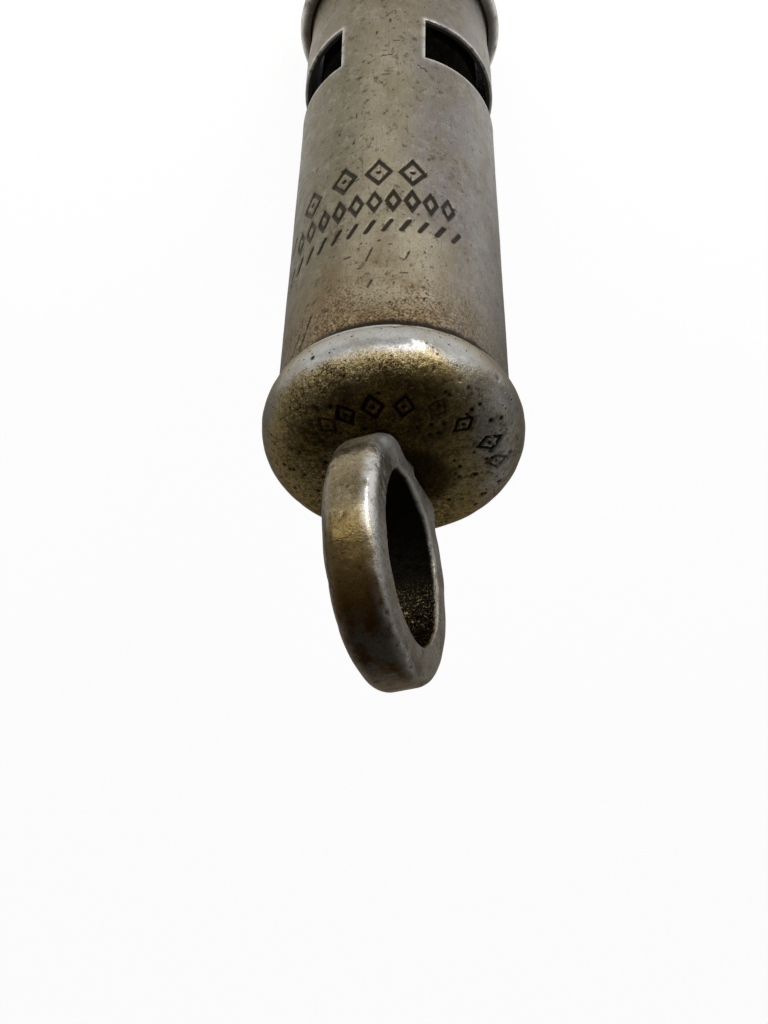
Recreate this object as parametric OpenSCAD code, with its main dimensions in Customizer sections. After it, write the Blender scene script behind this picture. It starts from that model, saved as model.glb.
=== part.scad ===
// Two-chamber round whistle with a swivelling lanyard loop.
// Millimetres. The whistle stands on its mouth rim: z = 0 is the mouth, +Z points to the loop.
// The divider plate lies in the YZ plane, the two windows face +X and -X.

/* [Barrel] */
// outside radius of the drawn tube
barrel_r = 9.0; // [8:0.05:10]
// sheet thickness of the tube
barrel_wall = 0.6; // [0.4:0.05:1]
// height of the tube's closed end above the mouth
barrel_top_z = 60.0; // [50:0.1:70]
// outside radius of the slight swell beside the windows
swell_r = 9.18; // [9:0.01:9.5]
// height at which the swell has run out into the straight tube
swell_end_z = 22.0; // [20:0.1:30]
// height at which the neck has opened to the swell
neck_top_z = 9.4; // [8:0.1:12]
// height at which the neck starts to open
neck_bottom_z = 4.8; // [3:0.1:7]
// outside radius of the neck behind the lip
neck_r = 9.0; // [8:0.05:9.1]
// outside radius of the rolled lip's section
curl_r = 0.97; // [0.8:0.01:1.4]
// gap between the rolled edge and the neck
curl_gap = 0.25; // [0.1:0.05:0.5]
// depth of the worn land on the mouth rim
rim_land = 0.1; // [0.05:0.05:0.3]

/* [Windows] */
// mouth-side edge of the +X window
window_front_z = 13.3; // [12:0.1:16]
// mouth-side edge of the -X window
window_rear_z = 13.9; // [12:0.1:16]
// height of both windows
window_h = 6.2; // [4:0.1:8]
// distance of each window's cut from the divider plane
window_x = 3.9; // [3:0.1:6]

/* [Inside] */
// thickness of the divider plate
plate_t = 0.8; // [0.5:0.1:1.5]
// distance of the plate and the blocks behind the mouth rim
mouth_recess = 0.8; // [0.2:0.1:2]
// height of the curved windway between block and tube
windway_h = 0.9; // [0.5:0.1:1.5]
// distance from the divider plane to the windway's side rails
rail_x = 4.2; // [3:0.1:6]
// lower face of the stop that shortens the -X chamber
stop_z = 53.0; // [45:0.1:57]
// thickness of the chamber stop
stop_t = 1.5; // [0.8:0.1:3]
// thickness of the disc that closes both chambers
disc_t = 1.0; // [0.6:0.1:2]

/* [Base cap] */
// height of the cap's open rim
cap_z = 57.0; // [55:0.1:60]
// largest outside radius of the cap
cap_r = 10.02; // [9.5:0.02:11]
// height of the largest radius above the cap's rim
cap_bulge_h = 1.65; // [1:0.05:3]
// radius of the cap's rounded shoulder
cap_round_r = 3.4; // [2:0.1:4]
// angle at which the shoulder runs into the shallow dome
dome_angle = 10; // [4:1:20]
// height of the cap's flat land above its rim
cap_h = 5.5; // [5:0.1:7]
// sheet thickness of the cap's crown
cap_wall = 0.8; // [0.5:0.05:1.2]

/* [Loop] */
// turn of the loop about the whistle's axis, from the divider plane
loop_turn = 10; // [-90:1:90]
// outside half-width of the oval
loop_half_w = 8.0; // [6:0.1:10]
// outside half-height of the oval
loop_half_h = 9.4; // [7:0.1:12]
// height of the oval's centre above the mouth
loop_centre_z = 71.45; // [68:0.05:75]
// how far the oval's middle stands off the whistle's axis, along the oval's width
loop_shift = 0.85; // [0:0.05:1.5]
// width of the band between hole and outside
band_w = 2.8; // [2:0.1:4]
// thickness of the loop
band_t = 4.0; // [3:0.1:5]
// rounding of the outside edges
band_round_out = 1.0; // [0.3:0.1:1.5]
// rounding of the hole's edges
band_round_in = 0.5; // [0.2:0.1:1]
// centre-line radius of the oval's two end arcs
end_arc_r = 5.8; // [5:0.1:6.2]
// half-width of the foot
foot_half_w = 4.6; // [3:0.1:6]
// thickness of the foot
foot_t = 3.4; // [2:0.1:4]
// height of the foot
foot_h = 1.3; // [0.5:0.1:2]

/* [Swivel] */
// radius of the stud
stud_r = 1.6; // [1:0.05:2.5]
// running clearance around the stud
stud_clear = 0.06; // [0.02:0.01:0.1]
// clearance between foot and cap, and between washer and cap
end_clear = 0.05; // [0.02:0.01:0.15]
// radius of the washer inside the cap
washer_r = 3.2; // [2.5:0.1:5]
// thickness of the washer
washer_t = 0.6; // [0.3:0.1:1]
// radius of the riveted head
head_r = 2.4; // [2:0.1:4]
// thickness of the riveted head
head_t = 0.6; // [0.3:0.1:1]

/* [Hidden] */
$fn = 96;
eps = 0.01;
curl_x = neck_r - barrel_wall + curl_r;
curl_z = curl_r - rim_land;
curl_void_r = curl_r - barrel_wall;
bore_r = barrel_r - barrel_wall;
disc_z = barrel_top_z - disc_t;
land_z = cap_z + cap_h;
roof_z = land_z - cap_wall;
shoulder_x = cap_r - cap_round_r;
shoulder_z = cap_z + cap_bulge_h;
dome_join_x = shoulder_x + cap_round_r * sin(dome_angle);
dome_join_z = shoulder_z + cap_round_r * cos(dome_angle);
dome_r = dome_join_x / sin(dome_angle);
dome_cz = dome_join_z - dome_r * cos(dome_angle);
foot_z = land_z + end_clear;
washer_z = roof_z - end_clear - washer_t;
line_a = loop_half_w - band_w / 2;
line_b = loop_half_h - band_w / 2;
end_c = line_b - end_arc_r;
side_arc_r = (line_a * line_a + end_c * end_c - end_arc_r * end_arc_r) / (2 * (line_a - end_arc_r));
side_c = side_arc_r - line_a;
join_a = atan2(end_c, side_c);

// ---- shared shapes ----

// outline of the tube's outside, from z0 upwards, pulled in by d
module tube_outline(d, z0)
  polygon([
    [0, z0],
    [neck_r - d, z0],
    [neck_r - d, neck_bottom_z],
    [swell_r - d, neck_top_z],
    [swell_r - d, window_front_z + 1],
    [barrel_r - d, swell_end_z],
    [barrel_r - d, barrel_top_z],
    [0, barrel_top_z]
  ]);

// solid that fills the tube's bore, pulled in by d
module bore_solid(d)
  rotate_extrude()
    tube_outline(barrel_wall + d, mouth_recess);

// half-space blocks on the +X side or, with s = -1, on the -X side
module side_box(s, x0, z0, z1)
  translate([s > 0 ? x0 : -x0 - 20, -20, z0])
    cube([20, 40, z1 - z0]);

// ---- barrel ----

module curl_section() {
  difference() {
    translate([curl_x, curl_z])
      circle(r = curl_r);
    translate([curl_x, curl_z])
      circle(r = curl_void_r);
    translate([neck_r, curl_z])
      square([curl_gap, 3]);
    translate([0, -2])
      square([20, 2]);
  }
}

module wall_section() {
  difference() {
    tube_outline(0, curl_z);
    tube_outline(barrel_wall, curl_z - 1);
    translate([0, barrel_top_z - eps])
      square([bore_r, 1]);
  }
}

module barrel() {
  color("silver")
    difference() {
      rotate_extrude()
        union() {
          curl_section();
          wall_section();
        }
      side_box(1, window_x, window_front_z, window_front_z + window_h);
      side_box(-1, window_x, window_rear_z, window_rear_z + window_h);
      translate([0, 0, barrel_top_z - 1])
        cylinder(r = bore_r, h = 2);
    }
}

// ---- pieces inside the barrel ----

module divider_plate() {
  color("tan")
    intersection() {
      bore_solid(0);
      translate([-plate_t / 2, -20, 0])
        cube([plate_t, 40, disc_z]);
    }
}

// s is the side, top the window's mouth-side edge
module fipple_block(s, top) {
  difference() {
    intersection() {
      bore_solid(0);
      side_box(s, plate_t / 2, mouth_recess, top);
    }
    difference() {
      side_box(s, rail_x, mouth_recess - 1, top + 1);
      translate([0, 0, -1])
        rotate_extrude()
          tube_outline(barrel_wall + windway_h, 0);
    }
  }
}

module fipple_block_front() {
  color("gray")
    fipple_block(1, window_front_z);
}

module fipple_block_rear() {
  color("gray")
    fipple_block(-1, window_rear_z);
}

module chamber_stop() {
  color("gray")
    intersection() {
      cylinder(r = bore_r, h = 100);
      side_box(-1, plate_t / 2, stop_z, stop_z + stop_t);
    }
}

module end_disc() {
  color("tan")
    translate([0, 0, disc_z])
      cylinder(r = bore_r, h = disc_t);
}

// ---- base cap ----

module cap_outside() {
  difference() {
    union() {
      translate([shoulder_x, shoulder_z])
        circle(r = cap_round_r);
      translate([0, cap_z])
        square([shoulder_x, shoulder_z - cap_z]);
      intersection() {
        translate([0, dome_cz])
          circle(r = dome_r, $fn = 360);
        translate([0, cap_z])
          square([dome_join_x, cap_h + 2]);
      }
    }
    translate([0, cap_z - 10])
      square([20, 10]);
    translate([-60, -60])
      square([60, 200]);
    translate([0, land_z])
      square([20, 10]);
  }
}

module base_cap() {
  color("silver")
    difference() {
      rotate_extrude()
        cap_outside();
      translate([0, 0, cap_z - 1])
        cylinder(r = barrel_r, h = barrel_top_z - cap_z + 1);
      translate([0, 0, barrel_top_z - eps])
        cylinder(r = barrel_r - 0.3, h = 0.8 + eps);
      translate([0, 0, barrel_top_z + 0.8 - eps])
        cylinder(r1 = barrel_r - 0.3, r2 = barrel_r - 1.2, h = roof_z - barrel_top_z - 0.8 + eps);
      cylinder(r = stud_r + stud_clear, h = 100);
    }
}

// ---- loop and its rivet ----

// cross-section of the band, x outwards from its centre line
module band_section() {
  translate([-band_w / 2 + band_round_in, -band_t / 2])
    square([band_w - band_round_in - band_round_out, band_t]);
  translate([-band_w / 2, -band_t / 2 + band_round_in])
    square([band_round_in + eps, band_t - 2 * band_round_in]);
  translate([band_w / 2 - band_round_out - eps, -band_t / 2 + band_round_out])
    square([band_round_out + eps, band_t - 2 * band_round_out]);
  for (s = [-1, 1]) {
    translate([-band_w / 2 + band_round_in, s * (band_t / 2 - band_round_in)])
      circle(r = band_round_in, $fn = 32);
    translate([band_w / 2 - band_round_out, s * (band_t / 2 - band_round_out)])
      circle(r = band_round_out, $fn = 32);
  }
}

// one arc of the oval, from angle a over an angle of sweep, about the point c
module band_arc(c, r, a, sweep)
  translate([c[0], c[1], 0])
    rotate([0, 0, a])
      rotate_extrude(angle = sweep)
        translate([r, 0])
          band_section();

// block inside the band that ties two neighbouring arcs together
module join_key(sx, sy)
  translate([sx * end_arc_r * cos(join_a), sy * (end_c + end_arc_r * sin(join_a)), 0])
    rotate([0, 0, sx * sy * join_a])
      cube([1, 1.6, 2], center = true);

module oval_band() {
  band_arc([-side_c, 0], side_arc_r, -join_a, 2 * join_a);
  band_arc([0, end_c], end_arc_r, join_a, 180 - 2 * join_a);
  band_arc([side_c, 0], side_arc_r, 180 - join_a, 2 * join_a);
  band_arc([0, -end_c], end_arc_r, 180 + join_a, 180 - 2 * join_a);
  for (sx = [-1, 1], sy = [-1, 1])
    join_key(sx, sy);
}

module loop() {
  color("silver")
    rotate([0, 0, loop_turn]) {
      difference() {
        union() {
          translate([0, -loop_shift, loop_centre_z])
            rotate([90, 0, 90])
              oval_band();
          translate([-foot_t / 2, -foot_half_w, foot_z])
            cube([foot_t, 2 * foot_half_w, foot_h]);
        }
        translate([-10, -10, foot_z - 10])
          cube([20, 20, 10]);
      }
      translate([0, 0, washer_z - head_t])
        cylinder(r = stud_r, h = foot_z - washer_z + head_t + 0.5);
      translate([0, 0, washer_z - head_t])
        cylinder(r = head_r, h = head_t);
    }
}

module loop_washer() {
  color("tan")
    difference() {
      translate([0, 0, washer_z])
        cylinder(r = washer_r, h = washer_t);
      cylinder(r = stud_r, h = 100);
    }
}

// ---- assembly ----

barrel();
divider_plate();
fipple_block_front();
fipple_block_rear();
chamber_stop();
end_disc();
base_cap();
loop();
loop_washer();
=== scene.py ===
"""Looks of the two-chamber round whistle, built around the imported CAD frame."""

import math

import bpy
import numpy as np
from mathutils import Matrix, Vector


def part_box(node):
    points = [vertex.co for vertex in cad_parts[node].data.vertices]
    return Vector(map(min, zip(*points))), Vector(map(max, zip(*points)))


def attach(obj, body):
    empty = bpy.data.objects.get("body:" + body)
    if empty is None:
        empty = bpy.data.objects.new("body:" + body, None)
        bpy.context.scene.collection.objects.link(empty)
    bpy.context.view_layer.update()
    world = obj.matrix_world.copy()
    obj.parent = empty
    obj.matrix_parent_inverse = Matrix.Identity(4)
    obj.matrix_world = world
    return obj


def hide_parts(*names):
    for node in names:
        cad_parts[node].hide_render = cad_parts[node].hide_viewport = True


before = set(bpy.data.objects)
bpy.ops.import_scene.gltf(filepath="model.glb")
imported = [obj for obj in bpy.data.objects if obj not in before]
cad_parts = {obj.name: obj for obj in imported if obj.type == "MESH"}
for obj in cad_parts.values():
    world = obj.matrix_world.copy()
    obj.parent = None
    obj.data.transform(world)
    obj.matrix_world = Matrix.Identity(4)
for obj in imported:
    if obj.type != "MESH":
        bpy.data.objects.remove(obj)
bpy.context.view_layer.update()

MM = 0.001
SEED = 7

# -------- sizes, in millimetres


def box_mm(node):
    """Lowest and highest corner of a CAD node, in millimetres."""
    low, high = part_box(node)
    return np.array(low) / MM, np.array(high) / MM


BARREL_HIGH = box_mm("barrel")[1]
CAP_LOW, CAP_HIGH = box_mm("base_cap")
LOOP_LOW, LOOP_HIGH = box_mm("loop")
DISC_HIGH = box_mm("end_disc")[1]
FRONT_BLOCK_HIGH = box_mm("fipple_block_front")[1]
REAR_BLOCK_HIGH = box_mm("fipple_block_rear")[1]
WASHER_HIGH = box_mm("loop_washer")[1]

WALL = 0.6
BORE_R = DISC_HIGH[0]
TUBE_R = BORE_R + WALL
TOP_Z = BARREL_HIGH[2]
NECK_R = 9.0
NECK_LOW_Z = 4.8
NECK_HIGH_Z = 9.4
SWELL_R = 9.18
SWELL_MID_Z = 11.0
SWELL_FADE_Z = 13.0
SWELL_END_Z = 22.0
CURL_R = 0.97
CURL_X = BARREL_HIGH[0] - CURL_R
CURL_Z = CURL_R - 0.1
CREASE_Z = 1.3
LIP_TOP_Z = 1.9

WINDOW_H = 6.2
WINDOW_X = 3.9
WINDOW_HALF = math.acos(WINDOW_X / TUBE_R)
WINDOWS = [(0.0, FRONT_BLOCK_HIGH[2]), (math.pi, REAR_BLOCK_HIGH[2])]
WINDOW_EDGE = 0.14
EDGE_SHARES = (0.12, 0.35, 0.65, 1.0, 1.6)

CAP_Z = CAP_LOW[2]
LAND_Z = CAP_HIGH[2]
CAP_R = CAP_HIGH[0]
CAP_ROUND = 3.4
CAP_ROUND_X = CAP_R - CAP_ROUND
CAP_ROUND_Z = CAP_Z + 1.65
DOME_ANGLE = math.radians(10)
CAP_IN_R = 8.7
LAND_R = 3.9
ROOF_Z = LAND_Z - 0.8
STUD_R = 1.6
STUD_CLEAR = 0.06
HEAD_R = 2.4
WASHER_T = 0.6
STUD_COLUMNS = 64

LOOP_TURN = math.radians(10)
LOOP_TOP_Z = LOOP_HIGH[2]
LOOP_HALF_W = 8.0
LOOP_HALF_H = 9.4
LOOP_Z = LOOP_TOP_Z - LOOP_HALF_H
LOOP_SHIFT = 0.85
BAND_W = 2.8
BAND_T = 4.0
ROUND_OUT = 1.15
ROUND_IN = 0.5
END_ARC_R = 5.8
FOOT_Z = LAND_Z + 0.05
FOOT_HALF_W = 4.6
FOOT_REACH = 3.2
LOOP_PITS = 200
LOOP_AXIS = (math.cos(LOOP_TURN), math.sin(LOOP_TURN), 0.0)

FRONT = -math.pi / 2

CAMERA_AWAY = 71.55
CAMERA_Z = CAP_Z + 69.86
CAMERA_SIDE = math.radians(10.4)
CAMERA_YAW = math.radians(0.46)
CAMERA_PITCH = math.radians(40.2)
CAMERA_ROLL = math.radians(1.21)
LENS = 45.703125
SENSOR = 36

FLOOR_HALF = 2000
FLOOR_DROP = 0.02
FLOOR_WHITE = 0.84
POOL_X = -10.0
POOL_Y = -30.0

# -------- meshes


def smoothstep(t):
    """Smooth ramp from 0 to 1 as t goes from 0 to 1."""
    t = np.clip(t, 0.0, 1.0)
    return t * t * (3 - 2 * t)


def ripple(points, size, seed):
    """Smooth noise of about -1 to 1 from a few sine waves of about that wavelength."""
    rng = np.random.default_rng(seed)
    total = np.zeros(len(points))
    for _ in range(7):
        wave = rng.normal(size=3)
        wave *= 2 * math.pi / (size * rng.uniform(0.7, 1.5)) / np.linalg.norm(wave)
        total += np.sin(points @ wave + rng.uniform(0, 2 * math.pi))
    return total / 3.5


def steps(*stops):
    """Values from one stop to the next: each stop is (value, step up to the following one)."""
    out = []
    for (a, step), (b, _) in zip(stops, stops[1:]):
        count = max(1, round((b - a) / step))
        out += [a + (b - a) * i / count for i in range(count)]
    return np.array(out + [stops[-1][0]])


def arc(cx, cz, r, start, end, step):
    """Points of an arc in the radius and height plane, angles in degrees."""
    count = max(2, round(math.radians(abs(end - start)) * r / step))
    turns = np.radians(np.linspace(start, end, count + 1))
    return np.column_stack([cx + r * np.cos(turns), cz + r * np.sin(turns)])


def revolve(profile, turns):
    """Radius, height and turn of each point of a radius and height profile turned round the axis."""
    count = len(turns)
    return np.repeat(profile[:, 0], count), np.repeat(profile[:, 1], count), np.tile(turns, len(profile))


def round_axis(r, turn, z):
    """Points at those radii, turns and heights."""
    return np.column_stack([r * np.cos(turn), r * np.sin(turn), z])


def turn_from(start, turn):
    """Angle from start to turn, between -pi and pi."""
    return np.mod(turn - start + math.pi, 2 * math.pi) - math.pi


def grid_quads(rows, cols):
    """Corner numbers of the quads of a grid that closes both ways."""
    i, j = np.meshgrid(np.arange(rows), np.arange(cols), indexing="ij")
    nexti = (i + 1) % rows
    nextj = (j + 1) % cols
    quads = np.stack([i * cols + j, i * cols + nextj, nexti * cols + nextj, nexti * cols + j], -1)
    return quads.reshape(-1, 4)


def make_piece(name, points, quads, attributes, body, material, sharp=38):
    """A smooth-shaded mesh piece from millimetre points, riding on a CAD body.

    Edges sharper than that many degrees stay sharp.
    """
    used = np.zeros(len(points), bool)
    used[quads] = True
    number = np.cumsum(used) - 1
    mesh = bpy.data.meshes.new(name)
    mesh.from_pydata((points[used] * MM).tolist(), [], number[quads].tolist())
    for key, values in attributes.items():
        layer = mesh.attributes.new(key, "FLOAT", "POINT")
        layer.data.foreach_set("value", np.asarray(values)[used].astype(np.float32))
    mesh.validate()
    mesh.shade_smooth()
    mesh.set_sharp_from_angle(angle=math.radians(sharp))
    mesh.materials.append(material)
    piece = bpy.data.objects.new(name, mesh)
    bpy.context.scene.collection.objects.link(piece)
    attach(piece, body)
    return piece


def stroke_distance(u, v, at_u, at_v, length, turn):
    """Distance from a straight stroke of that length, in the unrolled coordinates u, v."""
    c, s = math.cos(turn), math.sin(turn)
    along = (u - at_u) * c + (v - at_v) * s
    across = (v - at_v) * c - (u - at_u) * s
    past = np.maximum(np.abs(along) - length / 2, 0)
    return np.hypot(past, across)


def dent(u, v, at_u, at_v, length, width, turn):
    """Depth from 0 to 1 of one oblong dent."""
    away = stroke_distance(u, v, at_u, at_v, length, turn)
    return np.clip(1.4 - 1.4 * (away / (width * 0.75)) ** 2, 0, 1) * (away < width)


def outline_depth(distance, width):
    """Depth of a punched stroke at that distance from its centre line: 1 inside, a low burr beside."""
    away = np.abs(distance)
    burr = 0.22 * np.exp(-(((away - width * 0.95) / (width * 0.3)) ** 2))
    return np.clip(1.6 - 1.6 * away / (width * 0.62), 0, 1) - burr


def lozenge(u, v, at_u, at_v, half_w, half_h, width):
    """A punched lozenge outline with a centre dot."""
    du, dv = u - at_u, v - at_v
    ring = (np.abs(du) / half_w + np.abs(dv) / half_h - 1) * min(half_w, half_h) * 0.75
    dot = np.hypot(du, dv)
    return deepest(outline_depth(ring, width), outline_depth(dot, width * 1.3))


def deepest(one, other):
    """The deeper of two cuts, keeping a burr only where neither cuts in."""
    return np.where((one > 0) | (other > 0), np.maximum(one, other), np.minimum(one, other))


# -------- barrel


def tube_outer(z):
    """Outside radius of the tube at height z: a narrow neck, a swell, then the plain tube."""
    rise = smoothstep((z - NECK_LOW_Z) / (NECK_HIGH_Z - NECK_LOW_Z))
    fade = smoothstep((z - SWELL_FADE_Z) / (SWELL_END_Z - SWELL_FADE_Z))
    neck = NECK_R + (SWELL_R - NECK_R) * rise
    swell = SWELL_R - (SWELL_R - TUBE_R) * fade
    return np.where(z < SWELL_MID_Z, neck, swell)


# heights of the tube's rows outside the windows' edges, each with its step up to the next
LOW_ROWS = ((1.4, 0.45), (NECK_LOW_Z, 0.4), (NECK_HIGH_Z, 0.3), (12.9, 0.3))
HIGH_ROWS = ((13.5, 0.22), (21.0, 0.34), (36.2, 0.13), (46.0, 0.24), (57.0, 0.6), (TOP_Z, 1))
MIN_ROW_GAP = 0.012

# columns of the tube, in radians: half of the fine front, its step, the step elsewhere
FINE_HALF = 1.25
FINE_TURN = 0.0133
COARSE_TURN = 0.045
MIN_TURN_GAP = 0.0012
SAME_TURN = 2e-5


def tube_rows():
    """Heights of the outer rows, packed closely at the windows' edges and the punched rows."""
    near = [WINDOW_EDGE * share for share in EDGE_SHARES]
    rows = [*steps(*LOW_ROWS), *steps(*HIGH_ROWS)]
    for _, low in WINDOWS:
        high = low + WINDOW_H
        rows += [low, high]
        rows += [low - gap for gap in near] + [high + gap for gap in near]
    rows = np.unique(np.round(rows, 4))
    keep = np.concatenate([[True], np.diff(rows) > MIN_ROW_GAP])
    return rows[keep]


def bore_rows(rows):
    """Heights of the rows down the bore: the outer ones where the windows are, few elsewhere."""
    low = min(window[1] for window in WINDOWS)
    high = max(window[1] for window in WINDOWS) + WINDOW_H
    shared = rows[(rows >= low) & (rows <= high)]
    far = steps((shared[-1], 2.2), (TOP_Z, 1))[1:]
    near = steps((1.6, 0.8), (shared[0], 1))[:-1]
    return np.concatenate([near, shared, far])[::-1]


def tube_turns():
    """Angles of the columns: fine at the front, and close at the windows' side edges."""
    start, end = FRONT - FINE_HALF, FRONT + FINE_HALF
    turns = list(steps((start, FINE_TURN), (end, COARSE_TURN), (start + 2 * math.pi, 1)))[:-1]
    edges = []
    for middle, _ in WINDOWS:
        for side in (-1, 1):
            edge = middle + side * WINDOW_HALF
            edges.append(np.mod(edge, 2 * math.pi))
            turns += [edge + side * WINDOW_EDGE * share / TUBE_R for share in (0, *EDGE_SHARES)]
    turns = np.unique(np.round(np.mod(turns, 2 * math.pi), 5))
    keep = [turns[0]]
    for turn in turns[1:]:
        is_edge = min(abs(turn - edge) for edge in edges) < SAME_TURN
        if turn - keep[-1] > MIN_TURN_GAP:
            keep.append(turn)
        elif is_edge:
            keep[-1] = turn
    return np.array(keep)


def off_window(turn, z, middle, low):
    """Distance in millimetres outside a window's outline, 0 inside it."""
    side = np.maximum((np.abs(turn_from(middle, turn)) - WINDOW_HALF) * TUBE_R, 0)
    above = np.maximum(np.maximum(low - z, z - low - WINDOW_H), 0)
    return np.hypot(side, above)


# dings on the tube: turn from the front in degrees, height, length, width, tilt in degrees, depth
TUBE_DINGS = [
    (-5, 14.6, 0.5, 0.22, 90, 0.06),
    (3, 16.4, 0.55, 0.2, 85, 0.05),
    (-9, 17.9, 0.5, 0.16, 5, 0.05),
    (-2, 19.4, 0.2, 0.2, 0, 0.06),
    (-3, 20.2, 0.9, 0.17, 4, 0.07),
    (11, 20.6, 0.25, 0.16, 30, 0.05),
    (-18, 20.9, 0.18, 0.18, 0, 0.05),
    (-24, 22.0, 0.9, 0.3, -35, 0.04),
    (12, 23.0, 0.5, 0.15, 10, 0.04),
    (-3, 23.4, 0.5, 0.35, 0, 0.03),
    (-4, 29.2, 0.8, 0.18, 50, 0.06),
    (13, 29.0, 0.3, 0.16, 80, 0.05),
    (14, 32.8, 0.5, 0.18, 70, 0.05),
    (28, 33.0, 0.35, 0.16, 60, 0.04),
    (3, 48.2, 1.5, 0.2, 72, 0.08),
    (14, 47.9, 0.6, 0.18, 15, 0.07),
    (-16, 48.4, 0.9, 0.18, 70, 0.06),
    (8, 49.6, 0.5, 0.16, 25, 0.05),
    (17, 50.4, 0.5, 0.15, -10, 0.05),
    (-13, 50.6, 0.9, 0.16, 12, 0.05),
    (-25, 50.9, 0.3, 0.15, -30, 0.05),
    (2, 51.6, 0.8, 0.2, 65, 0.06),
    (34, 51.2, 1.3, 0.14, -20, 0.05),
    (38, 54.2, 3.2, 0.22, 68, 0.07),
    (45, 54.6, 2.0, 0.16, 60, 0.05),
    (24, 53.2, 0.4, 0.16, 0, 0.05),
    (-8, 53.9, 0.35, 0.14, 45, 0.04),
]
TUBE_DENTS = 330
TUBE_DENT_DEPTH = 0.03
TUBE_DENT_MIDDLE = -1.5
TUBE_DENT_SPREAD = 6.5


def mark_row(count, start, pitch, height, rise, least, pace):
    """Girth place, height and depth share of each mark in a row; the shares run from least to 1."""
    row = []
    for k in range(count):
        share = least + (1 - least) * math.sin(pace * k) ** 2
        row.append((start + pitch * k, height + rise * k, share))
    return row


# plain punched ornament on the tube: millimetres round the girth from the front, height, depth share
BIG_LOZENGES = [(-2.9, 37.9, 0.95), (-0.1, 37.8, 0.85), (2.9, 37.8, 1.0), (6.3, 38.2, 0.8)]
BIG_HALF_W = 1.0
BIG_HALF_H = 1.5
BIG_STROKE = 0.4
SMALL_LOZENGES = mark_row(count=10, start=-5.9, pitch=1.52, height=41.6, rise=0.02, least=0.75, pace=2.4)
SMALL_HALF_W = 0.52
SMALL_HALF_H = 1.15
SMALL_STROKE = 0.36
SMALL_SLOPE = 0.42
SLASHES = mark_row(count=12, start=-6.6, pitch=1.42, height=44.75, rise=0.01, least=0.72, pace=1.7)
SLASH_LENGTH = 1.35
SLASH_STROKE = 0.46
SLASH_TURN = math.radians(63)
TUBE_MARK_DEPTH = 0.13


def punched_rows(u, z):
    """Three rows of plain punched ornament round the front of the tube, and one stroke beside them."""
    depth = outline_depth(stroke_distance(u, z, 9.2, 40.6, 1.5, math.radians(60)), 0.3)
    for at, height, share in BIG_LOZENGES:
        depth = deepest(depth, share * lozenge(u, z, at, height, BIG_HALF_W, BIG_HALF_H, BIG_STROKE))
    for at, height, share in SMALL_LOZENGES:
        rim = (np.abs(u - at) / SMALL_HALF_W + np.abs(z - height) / SMALL_HALF_H - 1) * SMALL_SLOPE
        depth = deepest(depth, share * outline_depth(rim, SMALL_STROKE))
    for at, height, share in SLASHES:
        bar = stroke_distance(u, z, at, height, SLASH_LENGTH, SLASH_TURN)
        depth = deepest(depth, share * outline_depth(bar, SLASH_STROKE))
    return depth


def tube_shape(points, turn, z):
    """Radial offset and mark depth of the tube's outside: ornament, dings, small dents and ripple."""
    u = turn_from(FRONT, turn) * TUBE_R
    mark = punched_rows(u, z)
    offset = -TUBE_MARK_DEPTH * mark
    for at, height, length, width, tilt, depth in TUBE_DINGS:
        hit = dent(u, z, math.radians(at) * TUBE_R, height, length, width, math.radians(tilt))
        offset -= depth * hit
        mark = np.maximum(mark, hit * 0.5)
    rng = np.random.default_rng(SEED)
    for _ in range(TUBE_DENTS):
        at = TUBE_DENT_SPREAD * rng.normal() + TUBE_DENT_MIDDLE
        height = 57 - 50 * rng.random() ** 1.5
        size = rng.uniform(0.08, 0.19)
        hit = dent(u, z, at, height, size * rng.uniform(0.2, 2.2), size, rng.uniform(0, math.pi))
        offset -= TUBE_DENT_DEPTH * hit
        mark = np.maximum(mark, hit * rng.uniform(0.1, 0.6))
    offset += 0.012 * ripple(points, 9, SEED) + 0.004 * ripple(points, 2.2, SEED + 1)
    return offset, mark


def make_barrel(material):
    """The drawn tube with rolled lip and two windows, as one closed mesh."""
    rows = tube_rows()
    outer = np.column_stack([tube_outer(rows), rows])
    curl = arc(CURL_X, CURL_Z, CURL_R, 180, 457, 0.17)
    curl[:, 1] = np.maximum(curl[:, 1], 0.0)
    crease = [[NECK_R + 0.2, CREASE_Z + 0.2], [NECK_R + 0.12, CREASE_Z + 0.02], [NECK_R + 0.02, CREASE_Z]]
    curl = np.vstack([curl, crease])
    bore_z = bore_rows(rows)
    bore_shade = np.column_stack([tube_outer(bore_z) - WALL, bore_z])
    profile = np.vstack([curl, outer, bore_shade])
    first_outer = len(curl)
    last_outer = first_outer + len(outer)
    turns = tube_turns()
    n, m = len(profile), len(turns)
    r, z, turn = revolve(profile, turns)
    row = np.repeat(np.arange(n), m)
    is_outer = (row >= first_outer) & (row < last_outer)
    offset, mark = tube_shape(round_axis(r, turn, z), turn, z)
    # edges of the lip and windows: worn, and also where a painted highlight goes in the colour
    wear_and_highlight = np.exp(-(((r - BARREL_HIGH[0]) / 0.5) ** 2)) * (z < LIP_TOP_Z + 1.1)
    for middle, low in WINDOWS:
        away = off_window(turn, z, middle, low)
        drop = WINDOW_EDGE - np.sqrt(np.maximum(WINDOW_EDGE**2 - np.maximum(WINDOW_EDGE - away, 0) ** 2, 0))
        offset -= drop
        wear_and_highlight = np.maximum(wear_and_highlight, np.exp(-((away / 0.3) ** 2)))
    offset *= is_outer * (z < TOP_Z - 0.01) * (z > LIP_TOP_Z)
    points = round_axis(r + offset, turn, z)
    quads = cut_windows(grid_quads(n, m), profile, turns, first_outer, last_outer)
    attributes = {"mark": mark * is_outer, "wear_and_highlight": wear_and_highlight, "inside": row >= last_outer}
    piece = make_piece("barrel_tube", points, quads, attributes, "whistle", material)
    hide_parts("barrel")


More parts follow.
